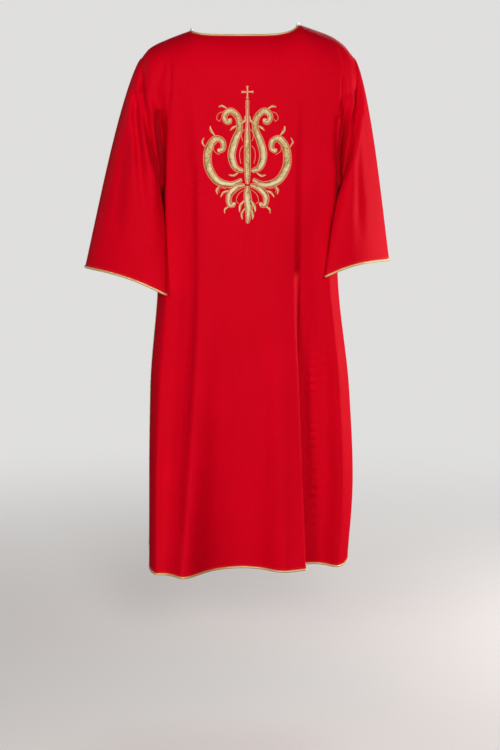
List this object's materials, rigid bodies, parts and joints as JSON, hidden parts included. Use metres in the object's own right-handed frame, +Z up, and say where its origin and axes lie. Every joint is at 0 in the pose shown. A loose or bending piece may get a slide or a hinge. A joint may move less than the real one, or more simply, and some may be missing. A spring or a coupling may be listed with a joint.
{
  "type": "dalmatic",
  "caption": "Hollow worn dalmatic in red cloth with wide sleeves, open side slits, gold piping and an embroidered chest motif.",
  "frame": {"origin": "base of the neck opening, between the shoulders, where the wearer carries the garment", "axes": "+Z up, +X towards the wearer's left sleeve, +Y towards the back"},
  "size_m": [0.6816, 0.3534, 1.2035],
  "materials": {
    "red_cloth": "smooth plain-weave polyester with a soft sheen",
    "gold_piping": "gold satin cord",
    "gold_embroidery": "pale gold satin stitch"
  },
  "bodies": {
    "root": {"front_panel": "red_cloth", "back_panel": "red_cloth", "sleeve_right": "red_cloth", "sleeve_left": "red_cloth", "neck_piping": "gold_piping", "cuff_piping_right": "gold_piping", "cuff_piping_left": "gold_piping", "hem_piping_front": "gold_piping", "hem_piping_back": "gold_piping", "motif_cross": "gold_embroidery", "motif_staff": "gold_embroidery", "motif_volute_right": "gold_embroidery", "motif_volute_left": "gold_embroidery", "motif_scroll_right": "gold_embroidery", "motif_scroll_left": "gold_embroidery", "motif_leaf_middle": "gold_embroidery", "motif_leaf_right": "gold_embroidery", "motif_leaf_left": "gold_embroidery"}
  },
  "joints": []
}
